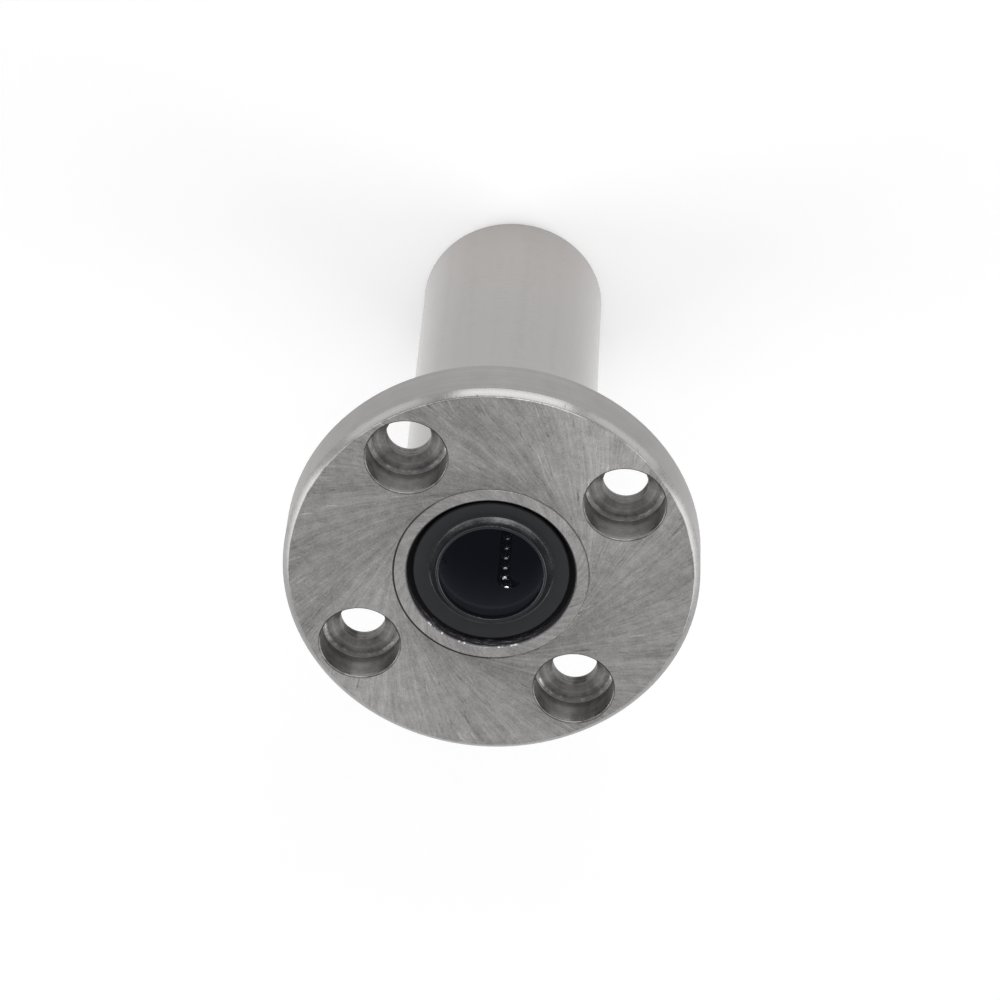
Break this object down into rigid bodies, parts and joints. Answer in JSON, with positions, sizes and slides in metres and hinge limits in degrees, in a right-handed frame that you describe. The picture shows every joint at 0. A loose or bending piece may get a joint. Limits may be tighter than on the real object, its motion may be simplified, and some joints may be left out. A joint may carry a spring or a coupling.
{
  "type": "linear ball bushing",
  "caption": "Long linear ball bushing with a round bolting flange, a ground steel sleeve, rubber lip seals and recirculating balls in two cages, for a round shaft.",
  "frame": {"origin": "on the shaft axis, in the plane of the flange's back face, where the flange seats", "axes": "+Z along the shaft axis, out of the flange's front face; the barrel points along -Z; the bolt holes lie at 45 degrees between X and Y"},
  "size_m": [0.032, 0.032, 0.045],
  "materials": {
    "flange_steel": "ground, satin",
    "sleeve_steel": "fine ground, satin",
    "seal_rubber": "moulded nitrile rubber, satin",
    "ring_steel": "pressed, black oxide",
    "cage_resin": "moulded acetal, satin",
    "ball_steel": "lapped bearing balls, mirror"
  },
  "bodies": {
    "housing": {"flange": "flange_steel", "outer_sleeve": "sleeve_steel", "front_seal": "seal_rubber", "rear_seal": "seal_rubber", "front_seal_washer": "ring_steel", "rear_seal_washer": "ring_steel", "front_side_ring": "ring_steel", "rear_side_ring": "ring_steel", "front_cage": "cage_resin", "rear_cage": "cage_resin"},
    "front_load_balls_1": {"front_load_balls_1": "ball_steel"},
    "front_return_balls_1": {"front_return_balls_1": "ball_steel"},
    "front_upper_turn_balls_1": {"front_upper_turn_balls_1": "ball_steel"},
    "front_lower_turn_balls_1": {"front_lower_turn_balls_1": "ball_steel"},
    "front_load_balls_2": {"front_load_balls_2": "ball_steel"},
    "front_return_balls_2": {"front_return_balls_2": "ball_steel"},
    "front_upper_turn_balls_2": {"front_upper_turn_balls_2": "ball_steel"},
    "front_lower_turn_balls_2": {"front_lower_turn_balls_2": "ball_steel"},
    "front_load_balls_3": {"front_load_balls_3": "ball_steel"},
    "front_return_balls_3": {"front_return_balls_3": "ball_steel"},
    "front_upper_turn_balls_3": {"front_upper_turn_balls_3": "ball_steel"},
    "front_lower_turn_balls_3": {"front_lower_turn_balls_3": "ball_steel"},
    "front_load_balls_4": {"front_load_balls_4": "ball_steel"},
    "front_return_balls_4": {"front_return_balls_4": "ball_steel"},
    "front_upper_turn_balls_4": {"front_upper_turn_balls_4": "ball_steel"},
    "front_lower_turn_balls_4": {"front_lower_turn_balls_4": "ball_steel"},
    "rear_load_balls_1": {"rear_load_balls_1": "ball_steel"},
    "rear_return_balls_1": {"rear_return_balls_1": "ball_steel"},
    "rear_upper_turn_balls_1": {"rear_upper_turn_balls_1": "ball_steel"},
    "rear_lower_turn_balls_1": {"rear_lower_turn_balls_1": "ball_steel"},
    "rear_load_balls_2": {"rear_load_balls_2": "ball_steel"},
    "rear_return_balls_2": {"rear_return_balls_2": "ball_steel"},
    "rear_upper_turn_balls_2": {"rear_upper_turn_balls_2": "ball_steel"},
    "rear_lower_turn_balls_2": {"rear_lower_turn_balls_2": "ball_steel"},
    "rear_load_balls_3": {"rear_load_balls_3": "ball_steel"},
    "rear_return_balls_3": {"rear_return_balls_3": "ball_steel"},
    "rear_upper_turn_balls_3": {"rear_upper_turn_balls_3": "ball_steel"},
    "rear_lower_turn_balls_3": {"rear_lower_turn_balls_3": "ball_steel"},
    "rear_load_balls_4": {"rear_load_balls_4": "ball_steel"},
    "rear_return_balls_4": {"rear_return_balls_4": "ball_steel"},
    "rear_upper_turn_balls_4": {"rear_upper_turn_balls_4": "ball_steel"},
    "rear_lower_turn_balls_4": {"rear_lower_turn_balls_4": "ball_steel"}
  },
  "joints": [
    {"name": "front_load_row_1", "type": "slide", "parent": "housing", "child": "front_load_balls_1", "axis": [0, 0, 1], "range_m": [-0.00076, 0.00076]},
    {"name": "front_return_row_1", "type": "slide", "parent": "housing", "child": "front_return_balls_1", "axis": [0, 0, 1], "range_m": [-0.00077, 0.00077]},
    {"name": "front_upper_turn_1", "type": "hinge", "parent": "housing", "child": "front_upper_turn_balls_1", "pos_m": [0.0038, 0.00324, -0.00199], "axis": [0.9212, 0.3891, 0], "range_deg": [-30, 30]},
    {"name": "front_lower_turn_1", "type": "hinge", "parent": "housing", "child": "front_lower_turn_balls_1", "pos_m": [0.0038, 0.00324, -0.01431], "axis": [0.9212, 0.3891, 0], "range_deg": [-30, 30]},
    {"name": "front_load_row_2", "type": "slide", "parent": "housing", "child": "front_load_balls_2", "axis": [0, 0, 1], "range_m": [-0.00076, 0.00076]},
    {"name": "front_return_row_2", "type": "slide", "parent": "housing", "child": "front_return_balls_2", "axis": [0, 0, 1], "range_m": [-0.00077, 0.00077]},
    {"name": "front_upper_turn_2", "type": "hinge", "parent": "housing", "child": "front_upper_turn_balls_2", "pos_m": [-0.00324, 0.0038, -0.00199], "axis": [-0.3891, 0.9212, 0], "range_deg": [-30, 30]},
    {"name": "front_lower_turn_2", "type": "hinge", "parent": "housing", "child": "front_lower_turn_balls_2", "pos_m": [-0.00324, 0.0038, -0.01431], "axis": [-0.3891, 0.9212, 0], "range_deg": [-30, 30]},
    {"name": "front_load_row_3", "type": "slide", "parent": "housing", "child": "front_load_balls_3", "axis": [0, 0, 1], "range_m": [-0.00076, 0.00076]},
    {"name": "front_return_row_3", "type": "slide", "parent": "housing", "child": "front_return_balls_3", "axis": [0, 0, 1], "range_m": [-0.00077, 0.00077]},
    {"name": "front_upper_turn_3", "type": "hinge", "parent": "housing", "child": "front_upper_turn_balls_3", "pos_m": [-0.0038, -0.00324, -0.00199], "axis": [-0.9212, -0.3891, 0], "range_deg": [-30, 30]},
    {"name": "front_lower_turn_3", "type": "hinge", "parent": "housing", "child": "front_lower_turn_balls_3", "pos_m": [-0.0038, -0.00324, -0.01431], "axis": [-0.9212, -0.3891, 0], "range_deg": [-30, 30]},
    {"name": "front_load_row_4", "type": "slide", "parent": "housing", "child": "front_load_balls_4", "axis": [0, 0, 1], "range_m": [-0.00076, 0.00076]},
    {"name": "front_return_row_4", "type": "slide", "parent": "housing", "child": "front_return_balls_4", "axis": [0, 0, 1], "range_m": [-0.00077, 0.00077]},
    {"name": "front_upper_turn_4", "type": "hinge", "parent": "housing", "child": "front_upper_turn_balls_4", "pos_m": [0.00324, -0.0038, -0.00199], "axis": [0.3891, -0.9212, 0], "range_deg": [-30, 30]},
    {"name": "front_lower_turn_4", "type": "hinge", "parent": "housing", "child": "front_lower_turn_balls_4", "pos_m": [0.00324, -0.0038, -0.01431], "axis": [0.3891, -0.9212, 0], "range_deg": [-30, 30]},
    {"name": "rear_load_row_1", "type": "slide", "parent": "housing", "child": "rear_load_balls_1", "axis": [0, 0, 1], "range_m": [-0.00076, 0.00076]},
    {"name": "rear_return_row_1", "type": "slide", "parent": "housing", "child": "rear_return_balls_1", "axis": [0, 0, 1], "range_m": [-0.00077, 0.00077]},
    {"name": "rear_upper_turn_1", "type": "hinge", "parent": "housing", "child": "rear_upper_turn_balls_1", "pos_m": [0.0038, 0.00324, -0.02169], "axis": [0.9212, 0.3891, 0], "range_deg": [-30, 30]},
    {"name": "rear_lower_turn_1", "type": "hinge", "parent": "housing", "child": "rear_lower_turn_balls_1", "pos_m": [0.0038, 0.00324, -0.03401], "axis": [0.9212, 0.3891, 0], "range_deg": [-30, 30]},
    {"name": "rear_load_row_2", "type": "slide", "parent": "housing", "child": "rear_load_balls_2", "axis": [0, 0, 1], "range_m": [-0.00076, 0.00076]},
    {"name": "rear_return_row_2", "type": "slide", "parent": "housing", "child": "rear_return_balls_2", "axis": [0, 0, 1], "range_m": [-0.00077, 0.00077]},
    {"name": "rear_upper_turn_2", "type": "hinge", "parent": "housing", "child": "rear_upper_turn_balls_2", "pos_m": [-0.00324, 0.0038, -0.02169], "axis": [-0.3891, 0.9212, 0], "range_deg": [-30, 30]},
    {"name": "rear_lower_turn_2", "type": "hinge", "parent": "housing", "child": "rear_lower_turn_balls_2", "pos_m": [-0.00324, 0.0038, -0.03401], "axis": [-0.3891, 0.9212, 0], "range_deg": [-30, 30]},
    {"name": "rear_load_row_3", "type": "slide", "parent": "housing", "child": "rear_load_balls_3", "axis": [0, 0, 1], "range_m": [-0.00076, 0.00076]},
    {"name": "rear_return_row_3", "type": "slide", "parent": "housing", "child": "rear_return_balls_3", "axis": [0, 0, 1], "range_m": [-0.00077, 0.00077]},
    {"name": "rear_upper_turn_3", "type": "hinge", "parent": "housing", "child": "rear_upper_turn_balls_3", "pos_m": [-0.0038, -0.00324, -0.02169], "axis": [-0.9212, -0.3891, 0], "range_deg": [-30, 30]},
    {"name": "rear_lower_turn_3", "type": "hinge", "parent": "housing", "child": "rear_lower_turn_balls_3", "pos_m": [-0.0038, -0.00324, -0.03401], "axis": [-0.9212, -0.3891, 0], "range_deg": [-30, 30]},
    {"name": "rear_load_row_4", "type": "slide", "parent": "housing", "child": "rear_load_balls_4", "axis": [0, 0, 1], "range_m": [-0.00076, 0.00076]},
    {"name": "rear_return_row_4", "type": "slide", "parent": "housing", "child": "rear_return_balls_4", "axis": [0, 0, 1], "range_m": [-0.00077, 0.00077]},
    {"name": "rear_upper_turn_4", "type": "hinge", "parent": "housing", "child": "rear_upper_turn_balls_4", "pos_m": [0.00324, -0.0038, -0.02169], "axis": [0.3891, -0.9212, 0], "range_deg": [-30, 30]},
    {"name": "rear_lower_turn_4", "type": "hinge", "parent": "housing", "child": "rear_lower_turn_balls_4", "pos_m": [0.00324, -0.0038, -0.03401], "axis": [0.3891, -0.9212, 0], "range_deg": [-30, 30]}
  ],
  "couplings": [
    {"joint": "front_return_row_1", "follows": "front_load_row_1", "ratio": -1},
    {"joint": "front_upper_turn_1", "follows": "front_load_row_1", "rad_per_m": -649.35},
    {"joint": "front_lower_turn_1", "follows": "front_load_row_1", "rad_per_m": -649.35},
    {"joint": "front_return_row_2", "follows": "front_load_row_2", "ratio": -1},
    {"joint": "front_upper_turn_2", "follows": "front_load_row_2", "rad_per_m": -649.35},
    {"joint": "front_lower_turn_2", "follows": "front_load_row_2", "rad_per_m": -649.35},
    {"joint": "front_return_row_3", "follows": "front_load_row_3", "ratio": -1},
    {"joint": "front_upper_turn_3", "follows": "front_load_row_3", "rad_per_m": -649.35},
    {"joint": "front_lower_turn_3", "follows": "front_load_row_3", "rad_per_m": -649.35},
    {"joint": "front_return_row_4", "follows": "front_load_row_4", "ratio": -1},
    {"joint": "front_upper_turn_4", "follows": "front_load_row_4", "rad_per_m": -649.35},
    {"joint": "front_lower_turn_4", "follows": "front_load_row_4", "rad_per_m": -649.35},
    {"joint": "rear_return_row_1", "follows": "rear_load_row_1", "ratio": -1},
    {"joint": "rear_upper_turn_1", "follows": "rear_load_row_1", "rad_per_m": -649.35},
    {"joint": "rear_lower_turn_1", "follows": "rear_load_row_1", "rad_per_m": -649.35},
    {"joint": "rear_return_row_2", "follows": "rear_load_row_2", "ratio": -1},
    {"joint": "rear_upper_turn_2", "follows": "rear_load_row_2", "rad_per_m": -649.35},
    {"joint": "rear_lower_turn_2", "follows": "rear_load_row_2", "rad_per_m": -649.35},
    {"joint": "rear_return_row_3", "follows": "rear_load_row_3", "ratio": -1},
    {"joint": "rear_upper_turn_3", "follows": "rear_load_row_3", "rad_per_m": -649.35},
    {"joint": "rear_lower_turn_3", "follows": "rear_load_row_3", "rad_per_m": -649.35},
    {"joint": "rear_return_row_4", "follows": "rear_load_row_4", "ratio": -1},
    {"joint": "rear_upper_turn_4", "follows": "rear_load_row_4", "rad_per_m": -649.35},
    {"joint": "rear_lower_turn_4", "follows": "rear_load_row_4", "rad_per_m": -649.35}
  ]
}
